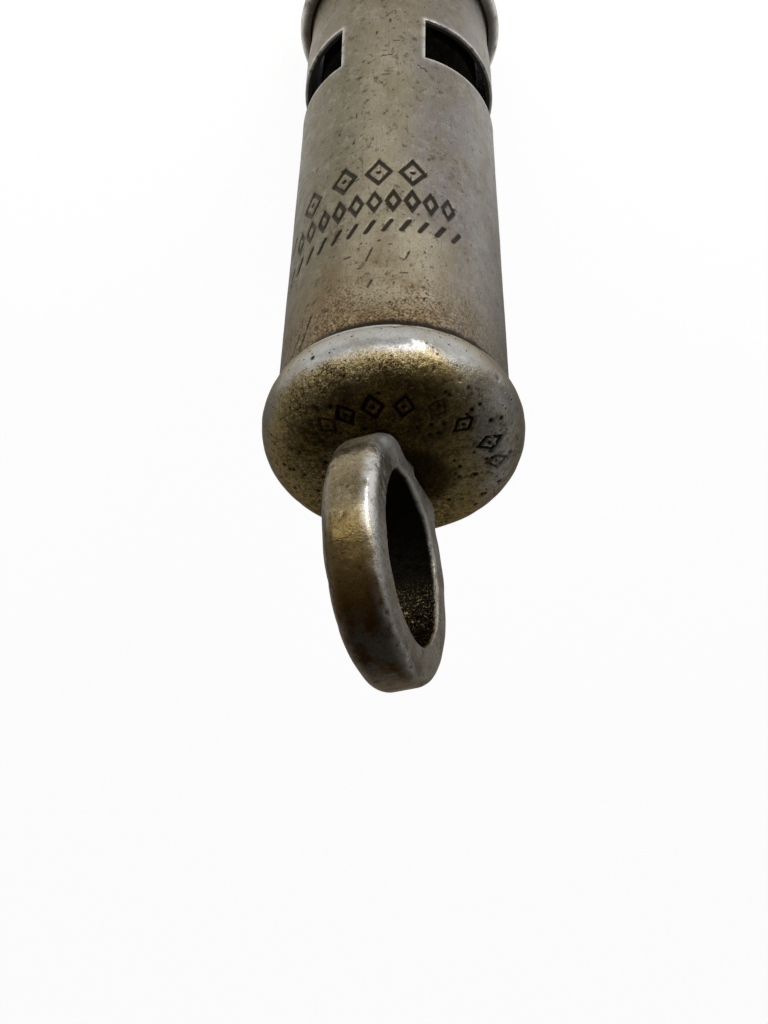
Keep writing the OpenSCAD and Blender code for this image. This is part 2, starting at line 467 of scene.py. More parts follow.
def cut_windows(quads, profile, turns, first_outer, last_outer):
    """Takes the windows' quads away and returns the rest with the quads of the cut wall."""
    n, m = len(profile), len(turns)
    z = profile[:, 1]
    outer_rows = range(first_outer, last_outer)
    inner_rows = range(last_outer, n)
    keep = np.ones(n * m, bool)
    rims = []
    for middle, low in WINDOWS:
        open_turn = np.abs(turn_from(middle, turns)) <= WINDOW_HALF + SAME_TURN
        cols = np.arange(m)
        starts = cols[open_turn & open_turn[(cols + 1) % m]]
        span_out = [i for i in outer_rows if low - 1e-4 <= z[i] <= low + WINDOW_H + 1e-4]
        span_in = [i for i in inner_rows if low - 1e-4 <= z[i] <= low + WINDOW_H + 1e-4][::-1]
        for i in span_out[:-1] + span_in[1:]:
            keep[i * m + starts] = False
        for a, b, flip in ((span_out[0], span_in[0], False), (span_out[-1], span_in[-1], True)):
            for j in starts:
                k = (j + 1) % m
                quad = [a * m + j, a * m + k, b * m + k, b * m + j]
                rims.append(quad[::-1] if flip else quad)
        first = next(j for j in starts if (j - 1) % m not in set(starts))
        last = (next(j for j in starts if (j + 1) % m not in set(starts)) + 1) % m
        for i, i2, k, k2 in zip(span_out, span_out[1:], span_in, span_in[1:]):
            rims.append([i * m + first, k * m + first, k2 * m + first, i2 * m + first])
            rims.append([i * m + last, i2 * m + last, k2 * m + last, k * m + last])
    return np.vstack([quads[keep], rims])


# -------- base cap


def cap_profile():
    """Closed outline of the cap in radius and height, with the numbers of the shoulder's first point
    and of the first point past the dome."""
    dome_r = (CAP_ROUND_X + CAP_ROUND * math.sin(DOME_ANGLE)) / math.sin(DOME_ANGLE)
    dome_z = CAP_ROUND_Z + CAP_ROUND * math.cos(DOME_ANGLE) - dome_r * math.cos(DOME_ANGLE)
    dome_start = 90 - math.degrees(DOME_ANGLE)
    start = -math.degrees(math.asin((CAP_ROUND_Z - CAP_Z - 0.12) / CAP_ROUND))
    rim_x = CAP_ROUND_X + CAP_ROUND * math.cos(math.radians(start)) - 0.12
    rim = [[TUBE_R + 0.02, CAP_Z + 0.1], [TUBE_R + 0.1, CAP_Z + 0.02], [TUBE_R + 0.3, CAP_Z], [rim_x, CAP_Z]]
    shoulder = arc(CAP_ROUND_X, CAP_ROUND_Z, CAP_ROUND, start, dome_start, 0.11)
    dome = arc(0, dome_z, dome_r, dome_start, 86, 0.12)[1:]
    dome[:, 1] = np.minimum(dome[:, 1], LAND_Z)
    hole_r = STUD_R + STUD_CLEAR
    land = [[r, LAND_Z] for r in np.arange(dome[-1, 0] - 0.25, hole_r + 0.1, -0.25)]
    hole = [[hole_r + 0.05, LAND_Z], [hole_r, LAND_Z - 0.05], [hole_r, ROOF_Z]]
    roof = [[4.0, ROOF_Z], [7.8, ROOF_Z]]
    skirt = [[CAP_IN_R, TOP_Z + 0.8], [CAP_IN_R, TOP_Z], [TUBE_R + 0.005, TOP_Z]]
    profile = np.vstack([rim, shoulder, dome, land, hole, roof, skirt])
    return profile, len(rim), len(rim) + len(shoulder) + len(dome)


# punched lozenges on the crown: turn from the front in degrees, radius, half sizes, depth share
CAP_MARKS = [
    (52, 6.6, 0.6, 0.8, 0.45),
    (37, 6.4, 0.65, 0.85, 0.6),
    (22, 6.4, 0.7, 0.9, 0.95),
    (3, 6.4, 0.75, 0.95, 1.0),
    (-17, 6.4, 0.7, 0.9, 0.8),
    (-37, 6.9, 0.65, 0.85, 0.5),
    (-58, 6.8, 0.6, 0.85, 0.75),
    (-80, 7.5, 0.65, 0.9, 0.85),
    (-96, 7.7, 0.6, 0.8, 0.6),
]
CAP_MARK_STROKE = 0.3
CAP_MARK_DEPTH = 0.16
CAP_COLUMNS = 440
CAP_PITS = 170
CAP_SCRATCHES = 34
SCRATCH_GIRTH_R = 7.5


def cap_shape(points, turn, r, z):
    """Inward offset and mark depth of the cap's outside: punched ring, pits, dents and scratches."""
    ahead = turn_from(FRONT, turn)
    mark = np.zeros(len(r))
    offset = np.zeros(len(r))
    upper = z > CAP_ROUND_Z + 1
    for at_turn, at_r, half_w, half_h, share in CAP_MARKS:
        u = (ahead - math.radians(at_turn)) * at_r
        hit = share * lozenge(u, r - at_r, 0, 0, half_w, half_h, CAP_MARK_STROKE) * upper
        offset += CAP_MARK_DEPTH * hit
        mark = np.maximum(mark, hit)
    rng = np.random.default_rng(SEED + 11)
    for _ in range(CAP_PITS):
        where = rng.uniform(-math.pi, math.pi)
        radius = rng.uniform(4.2, 9.9)
        height = rng.uniform(CAP_Z + 0.3, CAP_ROUND_Z + 2) if radius > 9.4 else None
        size = rng.uniform(0.12, 0.3)
        beside = turn_from(where, ahead) * radius
        along = (z - height) if height else (r - radius) * 1.2
        hit = np.clip(1.3 - np.hypot(beside, along) / size, 0, 1)
        hit = hit * (upper if height is None else ~upper)
        offset += rng.uniform(0.02, 0.06) * hit
        mark = np.maximum(mark, hit * rng.uniform(0.4, 0.95))
    for _ in range(CAP_SCRATCHES):
        where = rng.uniform(0.2, 1.4) * SCRATCH_GIRTH_R
        radius = rng.uniform(5.0, 9.0)
        u = ahead * SCRATCH_GIRTH_R
        hit = dent(u, r, where, radius, rng.uniform(0.6, 2.2), 0.12, rng.uniform(0.2, 1.3))
        offset += 0.03 * hit * upper
        mark = np.maximum(mark, 0.5 * hit * upper)
    offset += 0.03 * (1 + ripple(points, 7, SEED + 2)) + 0.012 * (1 + ripple(points, 1.6, SEED + 3))
    return offset, mark


def make_cap(material):
    """The pressed cap as one closed mesh, with its hole for the stud."""
    profile, first, last = cap_profile()
    turns = np.linspace(0, 2 * math.pi, CAP_COLUMNS, endpoint=False)
    n, m = len(profile), len(turns)
    slope = np.roll(profile, -1, 0) - np.roll(profile, 1, 0)
    normal = np.column_stack([slope[:, 1], -slope[:, 0]])
    normal /= np.maximum(np.linalg.norm(normal, axis=1), 1e-9)[:, None]
    r, z, turn = revolve(profile, turns)
    offset, mark = cap_shape(round_axis(r, turn, z), turn, r, z)
    row = np.repeat(np.arange(n), m)
    moving = ((row > first) & (row < last)) * smoothstep((r - LAND_R) / 0.8)
    offset = offset * moving
    r = r - offset * normal[row, 0]
    z = z - offset * normal[row, 1]
    points = round_axis(r, turn, z)
    attributes = {"mark": mark * moving}
    piece = make_piece("base_cap_shell", points, grid_quads(n, m), attributes, "whistle", material)
    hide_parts("base_cap")


# -------- loop


def oval_path(step):
    """Points and outward normals of the band's four-arc centre line, in the loop's own plane."""
    a = LOOP_HALF_W - BAND_W / 2
    b = LOOP_HALF_H - BAND_W / 2
    end_c = b - END_ARC_R
    side_r = (a * a + end_c * end_c - END_ARC_R**2) / (2 * (a - END_ARC_R))
    side_c = side_r - a
    join = math.degrees(math.atan2(end_c, side_c))
    arcs = [
        (-side_c, 0, side_r, -join, join),
        (0, end_c, END_ARC_R, join, 180 - join),
        (side_c, 0, side_r, 180 - join, 180 + join),
        (0, -end_c, END_ARC_R, 180 + join, 360 - join),
    ]
    points, normals = [], []
    for cx, cz, r, start, end in arcs:
        part = arc(cx, cz, r, start, end, step)[:-1]
        points.append(part)
        normals.append((part - [cx, cz]) / r)
    return np.vstack(points), np.vstack(normals)


def blur(values, width):
    """Running mean round a closed list."""
    kernel = np.ones(width) / width
    padded = np.concatenate([values[-width:], values, values[:width]])
    return np.convolve(padded, kernel, "same")[width:-width]


def half_section():
    """One half of the band's rounded section: weights of the corners, and outward normals.

    Each point is (share of the outer reach, share of the inner reach, offset, thickness offset,
    normal across, normal along the thickness); the thickness offset is from the flank.
    """
    rows = []
    for t in np.linspace(0, 1, 10)[:-1]:
        rows.append((0, 1, 0.0, -(1 - t) * (BAND_T / 2 - ROUND_IN) - ROUND_IN, -1, 0))
    for t in np.linspace(0, math.pi / 2, 11)[:-1]:
        c, d = math.cos(t), math.sin(t)
        rows.append((0, 1, ROUND_IN * (1 - c), -ROUND_IN * (1 - d), -c, d))
    for t in np.linspace(0, 1, 15)[:-1]:
        rows.append((t, 1 - t, ROUND_IN * (1 - t) - ROUND_OUT * t, 0.0, 0, 1))
    for t in np.linspace(0, math.pi / 2, 19)[:-1]:
        c, d = math.cos(t), math.sin(t)
        rows.append((1, 0, -ROUND_OUT * (1 - d), -ROUND_OUT * (1 - c), d, c))
    for t in np.linspace(0, 1, 8)[:-1]:
        rows.append((1, 0, 0.0, -ROUND_OUT - t * (BAND_T / 2 - ROUND_OUT), 1, 0))
    return np.array(rows, float)


def section_grid(out, inn, half_t):
    """Across, thickness and their normals for every cross-section of the band."""
    half = half_section()
    count = len(out)
    across = half[:, 0] * out[:, None] - half[:, 1] * inn[:, None] + half[:, 2]
    thick = half_t[:, None] + half[:, 3]
    across_n = np.tile(half[:, 4], (count, 1))
    thick_n = np.tile(half[:, 5], (count, 1))
    none, full = np.zeros(count), np.ones(count)
    halves = ((across, out, 1), (thick, none, -1), (across_n, full, 1), (thick_n, none, -1))
    grids = []
    for front, middle, side in halves:
        back = front[:, :0:-1] * side
        grids.append(np.hstack([front, middle[:, None], back]))
    return grids


def band_reaches(centre, normal):
    """How far the band runs outwards and inwards from its centre line, with the foot blended in."""
    down = np.maximum(-normal[:, 1], 1e-6)
    to_foot = (centre[:, 1] + LOOP_Z - FOOT_Z) / down
    side = centre[:, 0] - LOOP_SHIFT
    to_side = (FOOT_HALF_W - np.abs(side)) / np.maximum(np.abs(normal[:, 0]), 1e-6)
    reach = np.where(to_side > 0, np.minimum(to_foot, to_side), 0)
    out = np.full(len(centre), BAND_W / 2)
    low = (normal[:, 1] < -0.3) & (to_foot < 6)
    out = np.where(low, np.maximum(out, np.minimum(reach, FOOT_REACH)), out)
    out = np.minimum(blur(out, 11), np.where(normal[:, 1] < 0, to_foot, np.inf))
    inn = BAND_W / 2 + 0.15 * np.maximum(normal[:, 1], 0) ** 2 - 0.2 * np.maximum(normal[:, 0], 0) ** 2
    return out, inn


def make_loop(material):
    """The cast oval loop with its foot, as one closed mesh swept round the oval."""
    centre, normal = oval_path(0.13)
    out, inn = band_reaches(centre, normal)
    foot = smoothstep((-normal[:, 1] - 0.72) / 0.2)
    across, thick, across_n, thick_n = section_grid(out, inn, BAND_T / 2 - 0.15 * foot)
    n, m = across.shape
    x = centre[:, 0][:, None] + normal[:, 0][:, None] * across - LOOP_SHIFT
    z = centre[:, 1][:, None] + normal[:, 1][:, None] * across + LOOP_Z
    points = np.column_stack([thick.ravel(), x.ravel(), z.ravel()])
    push_x = (normal[:, 0][:, None] * across_n).ravel()
    push_z = (normal[:, 1][:, None] * across_n).ravel()
    push = np.column_stack([thick_n.ravel(), push_x, push_z])
    offset, mark, wear_and_highlight, hole = loop_shape(points, across_n, thick_n)
    points = points - push * offset[:, None]
    points[:, 2] = np.clip(points[:, 2], FOOT_Z, LOOP_TOP_Z)
    c, s = math.cos(LOOP_TURN), math.sin(LOOP_TURN)
    turned_x = points[:, 0] * c - points[:, 1] * s
    turned_y = points[:, 0] * s + points[:, 1] * c
    turned = np.column_stack([turned_x, turned_y, points[:, 2]])
    attributes = {"mark": mark, "wear_and_highlight": wear_and_highlight, "inside": hole}
    piece = make_piece("loop_band", turned, grid_quads(n, m), attributes, "loop", material, 60)
    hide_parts("loop")


def loop_shape(points, across_n, thick_n):
    """Inward offset, mark, edge wear with its painted highlight, and hole share of the loop's surface."""
    out_edge = np.clip(across_n, 0, 1) * np.abs(thick_n)
    in_edge = 0.4 * np.clip(-across_n, 0, 1) * np.abs(thick_n)
    out_edge = out_edge * np.where(thick_n > 0, 0.45, 1.0)
    wear_and_highlight = np.clip(out_edge * 2, 0, 1).ravel() ** 1.5
    wear_and_highlight = np.maximum(wear_and_highlight, np.clip(in_edge * 2, 0, 1).ravel())
    hole = smoothstep((-across_n.ravel() - 0.75) / 0.2)
    offset = 0.03 * (1 + ripple(points, 8, SEED + 4)) + 0.02 * (1 + ripple(points, 2.6, SEED + 5))
    offset += 0.03 * hole * (1 + ripple(points, 0.8, SEED + 6))
    mark = np.zeros(len(points))
    rng = np.random.default_rng(SEED + 21)
    for k in rng.integers(0, len(points), LOOP_PITS):
        size = rng.uniform(0.1, 0.3)
        near = np.linalg.norm(points - points[k], axis=1)
        hit = np.clip(1.3 - near / size, 0, 1)
        offset += rng.uniform(0.015, 0.06) * hit
        mark = np.maximum(mark, hit * rng.uniform(0.2, 0.8))
    return offset, mark, wear_and_highlight, hole


def make_stud(material):
    """The loop's stud and riveted head, under the foot."""
    head_z = LOOP_LOW[2]
    neck_z = WASHER_HIGH[2] - WASHER_T
    top_z = FOOT_Z + 0.4
    head = [[0.05, head_z], [1.6, head_z + 0.05], [2.2, head_z + 0.2], [HEAD_R, neck_z - 0.12], [2.3, neck_z]]
    stud = [[STUD_R, neck_z], [STUD_R, top_z - 0.1], [STUD_R - 0.1, top_z], [0.05, top_z]]
    outline = np.array(head + stud)
    turns = np.linspace(0, 2 * math.pi, STUD_COLUMNS, endpoint=False)
    r, z, turn = revolve(outline, turns)
    quads = grid_quads(len(outline), len(turns))
    piece = make_piece("loop_stud", round_axis(r, turn, z), quads, {}, "loop", material)


# -------- materials


class Nodes:
    """Short calls for building one material's node tree; colours are linear red, green and blue."""

    def __init__(self, name, colour):
        """A new material with that ground colour."""
        self.colour = colour
        self.material = bpy.data.materials.new(name)
        self.material.use_nodes = True
        self.tree = self.material.node_tree
        self.shader = self.tree.nodes["Principled BSDF"]
        coordinates = self.new("TexCoord")
        scale = self.new("VectorMath")
        scale.operation = "SCALE"
        self.put(scale.inputs["Scale"], 1 / MM)
        self.put(scale.inputs[0], coordinates.outputs["Object"])
        self.place = scale.outputs[0]
        self.normal = coordinates.outputs["Normal"]

    def new(self, kind, **inputs):
        """A new node of that kind, with those inputs linked or set."""
        node = self.tree.nodes.new("ShaderNode" + kind)
        for name, value in inputs.items():
            self.put(node.inputs[name], value)
        return node

    def put(self, socket, value):
        """Links a socket's output to the socket, or sets a plain value."""
        if isinstance(value, bpy.types.NodeSocket):
            self.tree.links.new(value, socket)
        else:
            socket.default_value = value

    def noise(self, size, detail=4.0, rough=0.6, stretch=None):
        """Noise of about 0 to 1 with features of that size in millimetres."""
        place = self.place
        if stretch:
            place = self.new("Mapping", Vector=place, Scale=stretch).outputs[0]
        node = self.new("TexNoise", Vector=place, Scale=1 / size, Detail=detail, Roughness=rough)
        return node.outputs["Fac"]

    def cells(self, size, wobble):
        """Distance to the nearest of scattered points, in cell sizes, with wobbly outlines."""
        shift = self.new("TexNoise", Vector=self.place, Scale=2.5 / size)
        push = self.new("VectorMath")
        push.operation = "MULTIPLY_ADD"
        self.put(push.inputs[0], shift.outputs["Color"])
        push.inputs[1].default_value = (wobble * size,) * 3
        self.put(push.inputs[2], self.place)
        return self.new("TexVoronoi", Vector=push.outputs[0], Scale=1 / size).outputs["Distance"]

    def attribute(self, name):
        """A number that the mesh carries at each point."""
        node = self.new("Attribute")
        node.attribute_name = name
        return node.outputs["Fac"]

    def part(self, vector, axis):
        """One of a vector's x, y and z, by its number."""
        return self.new("SeparateXYZ", Vector=vector).outputs[axis]

    def dot(self, vector, other):
        """Dot product with a fixed vector."""
        node = self.new("VectorMath")
        node.operation = "DOT_PRODUCT"
        self.put(node.inputs[0], vector)
        node.inputs[1].default_value = other
        return node.outputs["Value"]

    def math(self, operation, a, b=0.0, clamp=False):
        """One operation on two values; clamp keeps the result between 0 and 1."""
        node = self.new("Math")
        node.operation = operation
        node.use_clamp = clamp
        self.put(node.inputs[0], a)
        self.put(node.inputs[1], b)
        return node.outputs[0]

    def step(self, value, low, high, out_low=0.0, out_high=1.0):
        """Smooth ramp from out_low to out_high as value goes from low to high."""
        ends = {"From Min": low, "From Max": high, "To Min": out_low, "To Max": out_high}
        node = self.new("MapRange", Value=value, **ends)
        node.interpolation_type = "SMOOTHSTEP"
        return node.outputs[0]

    def plus(self, a, b):
        """Sum of two values."""
        return self.math("ADD", a, b)

    def times(self, *values):
        """Product of the values."""
        total = values[0]
        for value in values[1:]:
            total = self.math("MULTIPLY", total, value)
        return total

    def blend(self, share, low, high):
        """Mix of two colours by share."""
        node = self.new("Mix")
        node.data_type = "RGBA"
        self.put(node.inputs[0], share)
        for socket, colour in ((node.inputs[6], low), (node.inputs[7], high)):
            self.put(socket, (*colour, 1.0) if isinstance(colour, tuple) else colour)
        return node.outputs[2]

    def squares(self, a, b):
        """Sum of two values' squares."""
        return self.plus(self.times(a, a), self.times(b, b))

    def coat(self, colour, *shares):
        """Lays a colour over the surface so far, by the product of the shares."""
        self.colour = self.blend(self.times(*shares), self.colour, colour)

    def bump(self, *layers):
        """Bump from layers of (height, depth in millimetres)."""
        normal = None
        for height, depth in layers:
            node = self.new("Bump", Height=height, Strength=1.0, Distance=depth * MM)
            if normal:
                self.put(node.inputs["Normal"], normal)
            normal = node.outputs[0]
        self.put(self.shader.inputs["Normal"], normal)

    def finish(self, rough, metal, edge=(1.0, 1.0, 1.0)):
        """Connects the shader; edge is the tint of grazing reflections."""
        self.put(self.shader.inputs["Base Color"], self.colour)
        self.shader.inputs["Specular Tint"].default_value = (*edge, 1.0)
        self.put(self.shader.inputs["Roughness"], rough)
        self.put(self.shader.inputs["Metallic"], metal)
        return self.material


def barrel_ground(n, x, z, cloud, across):
    """The tube's broad colours: olive in front, grey to one side, brown to the other and at the mouth."""
    n.coat((0.285, 0.248, 0.172), n.step(across, -2.5, 1.5))
    n.coat((0.14, 0.125, 0.082), n.step(across, 2.5, 6.5))
    n.coat((0.11, 0.097, 0.06), n.step(x, 4.0, 8.5, 0.0, 0.8))
    n.coat((0.29, 0.28, 0.272), n.step(x, -6.0, -8.6, 0.0, 0.8))
    mouth = n.step(n.plus(z, n.times(cloud, 10.0)), 29.0, 15.0)
    n.coat((0.175, 0.142, 0.098), mouth, n.step(x, -8.0, -2.0, 0.2, 0.8))
    patch = n.step(n.noise(3.2, 6.0, 0.65, (1, 1, 0.5)), 0.42, 0.62)
    n.coat((0.17, 0.14, 0.085), patch, 0.5)
    pale = n.step(n.noise(1.2, 8.0, 0.8), 0.5, 0.62)
    n.coat((0.42, 0.39, 0.32), pale, 0.28)
    warm = n.step(n.plus(z, n.times(cloud, 8.0)), 47.0, 57.0)
    n.coat((0.155, 0.108, 0.05), warm, n.step(x, -7.0, -2.0, 0.2, 1.0), 0.85)


def barrel_rust(n, x, z, cloud, across, grit):
    """Brown specks and stains towards the cap, a cleaner patch beside them, and fine threads."""
    near_cap = n.step(n.plus(z, n.times(n.noise(4.0), 8.0)), 53.0, 60.0)
    near_cap = n.times(near_cap, n.step(x, -8.5, -3.0, 0.35, 1.0))
    n.coat((0.42, 0.31, 0.17), near_cap, n.step(grit, 0.5, 0.62), 0.7)
    rust = n.step(n.noise(0.8, 6.0, 0.75, (1, 1, 0.4)), 0.47, 0.58)
    n.coat((0.11, 0.05, 0.012), near_cap, rust, 0.6)
    stain = n.step(n.noise(1.7, 5.0, 0.6, (1, 1, 0.3)), 0.5, 0.6)
    n.coat((0.13, 0.08, 0.03), n.step(z, 42.0, 52.0), stain, 0.35)
    clean = n.times(n.step(z, 43.0, 46.5), n.step(z, 56.0, 52.0), n.step(across, 6.5, 2.5))
    clean = n.times(clean, n.step(x, -6.5, -3.0, 0.25, 1.0))
    n.coat((0.42, 0.375, 0.27), clean, n.step(cloud, 0.35, 0.55), 0.6)
    specks = n.math("ADD", n.times(near_cap, 0.85), 0.22, True)
    n.coat((0.055, 0.035, 0.014), specks, n.step(grit, 0.5, 0.4))
    threads = n.step(n.noise(0.32, 5.0, 0.7, (3.0, 3.0, 0.16)), 0.5, 0.66)
    n.coat((0.1, 0.085, 0.06), threads, 0.35)


def barrel_marks(n, x, z):
    """Smudges and pits, a dark line against the cap, bright worn edges that are partly a painted highlight,
    and darkened marks.
    """
    front = n.step(n.math("ABSOLUTE", n.plus(x, 0.5)), 3.0, 7.5, 1.0, 0.3)
    smudge = n.step(n.noise(0.55, 5.0, 0.7, (1, 1, 0.6)), 0.54, 0.66)
    smudge = n.times(smudge, n.step(n.noise(2.8), 0.42, 0.54))
    n.coat((0.075, 0.05, 0.025), smudge, front, 0.85)
    pits = n.times(n.step(n.cells(0.8, 0.5), 0.2, 0.1), n.step(n.noise(3.0), 0.5, 0.58), front)
    n.coat((0.05, 0.036, 0.018), pits, 0.85)
    # a dark line along the tube's joint with the cap, fading towards one side
    cap_joint_line = n.step(n.plus(z, n.times(n.noise(1.2), 0.8)), 55.9, 56.5)
    n.coat((0.01, 0.008, 0.005), cap_joint_line, n.step(x, 6.0, 2.0, 0.4, 0.95))
    # bright worn edges of the lip and windows, partly a painted highlight line along them
    bright = n.step(n.noise(1.2), 0.28, 0.55)
    n.coat((0.66, 0.64, 0.6), n.attribute("wear_and_highlight"), bright, 0.85)
    ink = n.step(n.plus(n.attribute("mark"), n.times(n.noise(0.5, 4.0), 0.4)), 0.32, 0.78)
    n.coat((0.014, 0.011, 0.007), ink, 0.96)
    return smudge, pits


def barrel_material():
    """Matte worn nickel: olive-brown at the front, cooler at one side, brown specks at the cap."""
    n = Nodes("worn_nickel_barrel", (0.19, 0.175, 0.172))
    x, z = n.part(n.place, 0), n.part(n.place, 2)
    cloud = n.noise(7.0, 5.0, 0.6)
    across = n.plus(x, n.times(cloud, 5.0))
    grit = n.noise(0.2, 4.0, 0.65)
    barrel_ground(n, x, z, cloud, across)
    barrel_rust(n, x, z, cloud, across, grit)
    smudge, pits = barrel_marks(n, x, z)
    # painted shade: the bore and the windows' cut walls are painted near black, rougher and less metallic
    bore_shade = n.step(n.attribute("inside"), 0.02, 0.4)
    n.coat((0.018, 0.014, 0.008), bore_shade)
    rough = n.step(n.noise(1.4, 5.0, 0.7), 0.3, 0.7, 0.26, 0.4)
    rough = n.plus(rough, n.times(bore_shade, 0.4))
    metal = n.math("SUBTRACT", 0.93, n.times(bore_shade, 0.8))
    streaks = n.noise(0.5, 3.0, 0.6, (6.0, 6.0, 0.35))
    n.bump((grit, 0.03), (streaks, 0.012), (n.noise(2.5), 0.07), (pits, -0.06), (smudge, -0.03))
    return n.finish(rough, metal, (0.82, 0.8, 0.75))


def crown_colour(n, x, cloud):
    """Dark brown with gold-brown clouds, and painted shade: greyer and duller towards the side in shade."""
    clouds = n.step(n.noise(1.3, 6.0, 0.7), 0.4, 0.62)
    crown = n.blend(clouds, (0.026, 0.014, 0.002), (0.12, 0.075, 0.016))
    # painted shade on the crown's shaded side
    shaded_side = n.step(n.plus(x, n.times(cloud, 3.0)), -3.2, -6.2)
    return n.blend(shaded_side, crown, (0.06, 0.048, 0.03))


def cap_grains(n, band, calm, tarnish, grit):
    """Gold flecks and black grains in the gold band."""
    fleck = n.times(band, n.step(grit, 0.54, 0.64), calm)
    n.coat((0.6, 0.5, 0.27), fleck, n.step(tarnish, 0.4, 0.9, 0.8, 0.12))
    blotch = n.step(n.noise(1.3, 4.0, 0.6), 0.42, 0.58, 0.15, 1.0)
    black = n.times(band, n.step(tarnish, 0.6, 1.0, 0.9, 0.35), blotch, calm)
    n.coat((0.02, 0.013, 0.006), n.math("ADD", black, 0.12, True), n.step(grit, 0.53, 0.43))
    crumbs = n.step(n.noise(0.34, 4.0, 0.75, (1, 1, 0.6)), 0.53, 0.62)
    n.coat((0.03, 0.018, 0.006), band, calm, crumbs, 0.7)


def cap_material():
    """Nickel rubbed bright at the shoulder, speckled gold below it and dark brown on the crown."""
    n = Nodes("worn_nickel_cap", (0.42, 0.415, 0.395))
    x, y, z = (n.part(n.place, k) for k in range(3))
    cloud = n.noise(3.5, 5.0, 0.6)
    grit = n.noise(0.17, 4.0, 0.7)
    height = n.plus(z, n.times(cloud, 2.4))
    side = n.plus(n.math("ABSOLUTE", n.plus(x, -1.5)), n.times(n.noise(2.6), 3.0))
    calm = n.step(side, 4.8, 8.0, 1.0, 0.3)
    face = n.step(height, CAP_Z + 4.4, CAP_Z + 6.2)
    middle = n.step(n.plus(side, n.times(x, 0.1)), 5.5, 10.5, 1.0, 0.35)
    back = n.step(n.plus(y, n.times(cloud, 4.0)), -2.0, 3.5, 1.0, 0.5)
    tarnish = n.times(face, middle, back)
    n.coat((0.33, 0.315, 0.27), n.step(cloud, 0.4, 0.65))
    patchy = n.step(n.noise(0.9, 8.0, 0.8), 0.45, 0.6)
    n.coat((0.17, 0.145, 0.1), patchy, n.step(height, CAP_Z + 4.4, CAP_Z + 3.0, 1.0, 0.35), 0.4)
    band = n.times(n.step(height, CAP_Z + 3.3, CAP_Z + 4.7), n.step(side, 8.0, 11.0, 1.0, 0.15))
    n.coat((0.37, 0.27, 0.095), band, 0.85)
    n.coat(crown_colour(n, x, cloud), tarnish, 0.95)
    cap_grains(n, band, calm, tarnish, grit)
    upper = n.step(height, CAP_Z + 4.0, CAP_Z + 5.5)
    n.coat((0.03, 0.021, 0.01), upper, n.step(n.noise(0.5, 5.0, 0.75), 0.5, 0.4), 0.6)
    pits = n.times(n.step(n.cells(0.55, 0.6), 0.22, 0.1), n.step(n.noise(2.4), 0.42, 0.55))
    n.coat((0.03, 0.023, 0.014), pits, 0.85)
    # painted shadow of the loop on the crown around its foot, with grime there
    from_foot = n.squares(n.plus(x, 1.2), n.plus(y, -1.0))
    foot_shadow_and_grime = n.step(n.plus(from_foot, n.times(cloud, 7.0)), 9.0, 19.0, 1.0, 0.0)
    n.coat((0.01, 0.006, 0.002), foot_shadow_and_grime, 0.88)
    ink = n.step(n.plus(n.attribute("mark"), n.times(n.noise(0.5, 4.0), 0.3)), 0.3, 0.9)
    n.coat((0.006, 0.005, 0.003), ink, 0.96)
    rough = n.step(n.noise(0.9, 5.0, 0.7), 0.3, 0.7, 0.11, 0.22)
    rough = n.plus(rough, n.times(tarnish, 0.1))
    coarse = n.step(height, CAP_Z + 3.2, CAP_Z + 4.6, 0.12, 1.0)
    coarse = n.times(coarse, n.plus(n.times(calm, 0.6), 0.4))
    bumps = n.times(coarse, n.noise(0.5, 5.0, 0.75))
    n.bump((n.times(coarse, grit), 0.035), (bumps, 0.11), (n.noise(4.0), 0.12), (pits, -0.06))
    return n.finish(rough, 0.95, (0.6, 0.52, 0.4))


def loop_band(n, z, cloud):
    """The loop's outside band: worn nickel low down, gold above it and dark brown at the top."""
    height = n.plus(z, n.times(cloud, 4.0))
    edge = n.plus(n.dot(n.place, LOOP_AXIS), n.times(n.noise(1.1), 1.4))
    n.coat((0.11, 0.08, 0.036), n.step(cloud, 0.38, 0.6))
    n.coat((0.38, 0.33, 0.235), n.step(z, LOOP_Z + 1.0, LOOP_Z - 4.5), 0.65)
    n.coat((0.17, 0.118, 0.042), n.step(height, LOOP_Z + 2.2, LOOP_Z + 6.4))
    n.coat((0.09, 0.062, 0.024), n.step(edge, 0.2, 2.0, 0.0, 0.6))
    n.coat((0.065, 0.027, 0.004), n.step(height, LOOP_Z + 6.2, LOOP_Z + 9.8))
    fleck = n.step(n.noise(0.7, 6.0, 0.75), 0.52, 0.66)
    n.coat((0.5, 0.44, 0.3), fleck, n.step(height, LOOP_Z + 6.5, LOOP_Z + 1.0), 0.4)


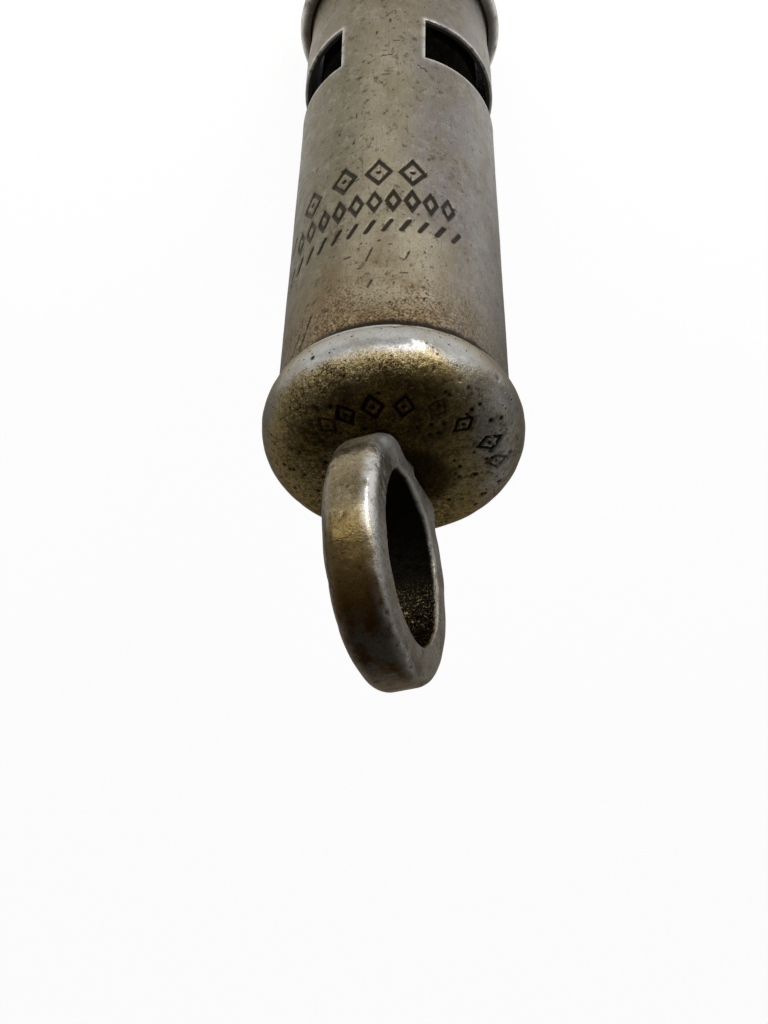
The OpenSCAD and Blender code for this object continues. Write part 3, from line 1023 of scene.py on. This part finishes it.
def loop_material():
    """Brass showing through worn nickel: gold-brown outside band, satin grey sides, dark hole."""
    n = Nodes("worn_nickel_loop", (0.24, 0.2, 0.12))
    y, z = n.part(n.place, 1), n.part(n.place, 2)
    flank = n.math("ABSOLUTE", n.dot(n.normal, LOOP_AXIS))
    flank = n.step(n.plus(flank, n.times(n.noise(1.6), 0.3)), 0.72, 1.02)
    grit = n.noise(0.18, 4.0, 0.7)
    loop_band(n, z, n.noise(3.0, 6.0, 0.65))
    grey = n.blend(n.step(n.noise(2.2, 6.0, 0.7), 0.4, 0.62), (0.45, 0.43, 0.405), (0.31, 0.285, 0.245))
    n.coat(grey, flank)
    tip = n.step(z, LOOP_TOP_Z - 2.6, LOOP_TOP_Z - 0.4)
    n.coat((0.12, 0.105, 0.08), tip, n.step(n.noise(1.4, 5.0), 0.35, 0.6))
    n.coat((0.03, 0.02, 0.01), n.step(grit, 0.48, 0.38), 0.6)
    hole = n.attribute("inside")
    grains = n.blend(n.step(grit, 0.52, 0.66), (0.014, 0.011, 0.006), (0.36, 0.28, 0.13))
    grains = n.blend(n.step(z, LOOP_Z - 2.5, LOOP_Z + 1.5), (0.006, 0.005, 0.003), grains)
    n.coat(grains, hole)
    # worn edges of the band, partly a painted highlight: whitish, kept to the lower part and weaker towards
    # the back
    worn_and_highlight = n.times(n.attribute("wear_and_highlight"), n.step(n.noise(1.1, 4.0), 0.3, 0.55))
    worn_and_highlight = n.times(worn_and_highlight, n.step(z, LOOP_Z + 4.0, LOOP_Z + 1.0, 0.2, 1.0))
    worn_and_highlight = n.times(worn_and_highlight, n.step(y, 1.0, 4.5, 1.0, 0.35))
    n.coat((0.6, 0.6, 0.585), worn_and_highlight, 0.8)
    n.coat((0.03, 0.022, 0.01), n.step(n.attribute("mark"), 0.2, 0.9))
    rough = n.step(n.noise(0.9, 5.0, 0.7), 0.3, 0.7, 0.13, 0.27)
    rough = n.plus(rough, n.times(flank, 0.1))
    rough = n.math("SUBTRACT", rough, n.times(worn_and_highlight, 0.06))
    rough = n.plus(rough, n.step(z, LOOP_Z - 3.5, LOOP_Z - 6.0, 0.0, 0.3))
    n.bump((grit, 0.014), (n.noise(1.2, 4.0, 0.6), 0.065), (n.times(hole, n.noise(0.25)), 0.08))
    return n.finish(rough, 0.95, (0.82, 0.74, 0.62))


def inner_material(name, light, dark, size):
    """Dull tarnished metal of the pieces inside the tube, with clouds of that size."""
    n = Nodes(name, light)
    n.coat(dark, n.step(n.noise(size, 6.0, 0.7), 0.38, 0.64))
    n.coat((0.02, 0.016, 0.008), n.step(n.noise(size / 6, 3.0, 0.7), 0.5, 0.7), 0.6)
    rough = n.step(n.noise(size / 3, 4.0), 0.3, 0.7, 0.4, 0.65)
    n.bump((n.noise(size / 8, 4.0, 0.7), 0.02), (n.noise(size), 0.04))
    return n.finish(rough, 0.9)


def floor_material():
    """Plain pale floor, white to the camera. The metal mirrors a soft pool of light on it near the
    whistle's front and a glow in a ring further out."""
    n = Nodes("pale_floor", (0.18, 0.18, 0.18))
    x, y = n.part(n.place, 0), n.part(n.place, 1)
    side = n.times(n.plus(x, -POOL_X), 0.5)
    apart = n.math("SQRT", n.squares(side, n.plus(y, -POOL_Y)))
    pool = n.times(n.step(apart, 28.0, 85.0, 1.0, 0.3), n.step(y, -5.0, 40.0, 1.0, 0.7))
    reach = n.math("SQRT", n.squares(x, y))
    ring = n.times(n.step(reach, 100.0, 125.0), n.step(reach, 340.0, 200.0), n.step(y, -25.0, -60.0))
    mirrored = n.plus(pool, n.times(ring, 0.7))
    seen = n.new("LightPath").outputs["Is Camera Ray"]
    level = n.plus(n.times(seen, FLOOR_WHITE), n.times(n.math("SUBTRACT", 1.0, seen), mirrored))
    n.shader.inputs["Emission Color"].default_value = (1.0, 1.0, 1.0, 1.0)
    n.put(n.shader.inputs["Emission Strength"], level)
    n.shader.inputs["Specular IOR Level"].default_value = 0.1
    n.coat((0.6, 0.6, 0.6), seen)
    return n.finish(0.7, 0.0)


# -------- studio


def make_floor():
    """A plain square floor just under the whistle's mouth."""
    half = FLOOR_HALF * MM
    corners = [(-half, -half, 0), (half, -half, 0), (half, half, 0), (-half, half, 0)]
    mesh = bpy.data.meshes.new("floor")
    mesh.from_pydata(corners, [], [(0, 1, 2, 3)])
    mesh.materials.append(floor_material())
    floor = bpy.data.objects.new("floor", mesh)
    floor.location.z = -FLOOR_DROP * MM
    bpy.context.scene.collection.objects.link(floor)


# the surround's brightness: height, from 0 at the horizon to 1 overhead, and grey level
SKY = [(0.0, 0.45), (0.1, 0.45), (0.3, 0.34), (0.6, 0.22), (0.85, 0.13), (1.0, 0.1)]


def make_world():
    """Soft studio surround: bright round the horizon, darker overhead, plain white behind."""
    world = bpy.data.worlds.new("studio")
    bpy.context.scene.world = world
    world.use_nodes = True
    tree = world.node_tree
    tree.nodes.clear()
    coordinates = tree.nodes.new("ShaderNodeTexCoord")
    split = tree.nodes.new("ShaderNodeSeparateXYZ")
    ramp = tree.nodes.new("ShaderNodeValToRGB")
    ramp.color_ramp.interpolation = "EASE"
    elements = ramp.color_ramp.elements
    while len(elements) < len(SKY):
        elements.new(0.5)
    for element, (height, _) in zip(elements, SKY):
        element.position = height
    for element, (_, level) in zip(elements, SKY):
        element.color = (level, level, level, 1.0)
    soft = tree.nodes.new("ShaderNodeBackground")
    white = tree.nodes.new("ShaderNodeBackground")
    white.inputs["Color"].default_value = (1.0, 1.0, 1.0, 1.0)
    path = tree.nodes.new("ShaderNodeLightPath")
    mix = tree.nodes.new("ShaderNodeMixShader")
    out = tree.nodes.new("ShaderNodeOutputWorld")
    tree.links.new(coordinates.outputs["Generated"], split.inputs[0])
    tree.links.new(split.outputs["Z"], ramp.inputs[0])
    tree.links.new(ramp.outputs[0], soft.inputs["Color"])
    tree.links.new(path.outputs["Is Camera Ray"], mix.inputs[0])
    tree.links.new(soft.outputs[0], mix.inputs[1])
    tree.links.new(white.outputs[0], mix.inputs[2])
    tree.links.new(mix.outputs[0], out.inputs[0])


def make_light(name, place, aim, width, height, watts, colour):
    """Rectangular soft light; its place, aim and size are in millimetres."""
    light = bpy.data.lights.new(name, "AREA")
    light.shape = "RECTANGLE"
    light.size = width * MM
    light.size_y = height * MM
    light.energy = watts
    light.color = colour
    lamp = bpy.data.objects.new(name, light)
    lamp.location = Vector(place) * MM
    lamp.visible_camera = False
    direction = Vector(aim) - Vector(place)
    lamp.rotation_euler = direction.to_track_quat("-Z", "Y").to_euler()
    bpy.context.scene.collection.objects.link(lamp)


def make_camera():
    """The photograph's view: close, over the cap, with the mouth end at the top of the picture."""
    right = Vector((math.cos(CAMERA_YAW), math.sin(CAMERA_YAW), 0))
    level = Vector((-math.sin(CAMERA_YAW), math.cos(CAMERA_YAW), 0))
    ahead = level * math.cos(CAMERA_PITCH) + Vector((0, 0, math.sin(CAMERA_PITCH)))
    up = right.cross(ahead)
    across = right * math.cos(CAMERA_ROLL) + up * math.sin(CAMERA_ROLL)
    upward = up * math.cos(CAMERA_ROLL) - right * math.sin(CAMERA_ROLL)
    turn = Matrix.Rotation(-CAMERA_SIDE, 3, "Z") @ Matrix.Diagonal((-1, 1, -1))
    basis = Matrix([turn @ across, turn @ upward, -(turn @ ahead)]).transposed()
    data = bpy.data.cameras.new("camera")
    data.lens = LENS
    data.sensor_width = SENSOR
    data.clip_start = 0.005
    data.clip_end = 20
    camera = bpy.data.objects.new("camera", data)
    spot = Vector((-math.sin(CAMERA_SIDE), -math.cos(CAMERA_SIDE), 0)) * CAMERA_AWAY
    spot = (spot + Vector((0, 0, CAMERA_Z))) * MM
    camera.matrix_world = Matrix.Translation(spot) @ basis.to_4x4()
    bpy.context.scene.collection.objects.link(camera)
    bpy.context.scene.camera = camera


# -------- assembly


def dress_cad_nodes():
    """Materials for the CAD nodes that stay."""
    brass = inner_material("dull_brass", (0.3, 0.22, 0.1), (0.11, 0.075, 0.03), 2.5)
    cast = inner_material("cast_block", (0.06, 0.05, 0.035), (0.022, 0.018, 0.011), 1.8)
    finish = {
        "divider_plate": brass,
        "chamber_stop": brass,
        "end_disc": brass,
        "loop_washer": brass,
        "fipple_block_front": cast,
        "fipple_block_rear": cast,
    }
    for name, material in finish.items():
        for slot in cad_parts[name].material_slots:
            slot.material = material


bpy.context.scene.view_settings.view_transform = "Standard"
make_camera()
make_world()
make_floor()
make_light("key", (-30, -130, 44), (-10, 0, 50), width=260, height=45, watts=0.078, colour=(1.0, 1.0, 1.0))
make_light("strip", (-50, -88, 28), (0, 0, 60), width=12, height=60, watts=0.014, colour=(0.97, 0.98, 1.0))
make_barrel(barrel_material())
make_cap(cap_material())
loop_finish = loop_material()
make_loop(loop_finish)
make_stud(loop_finish)
dress_cad_nodes()
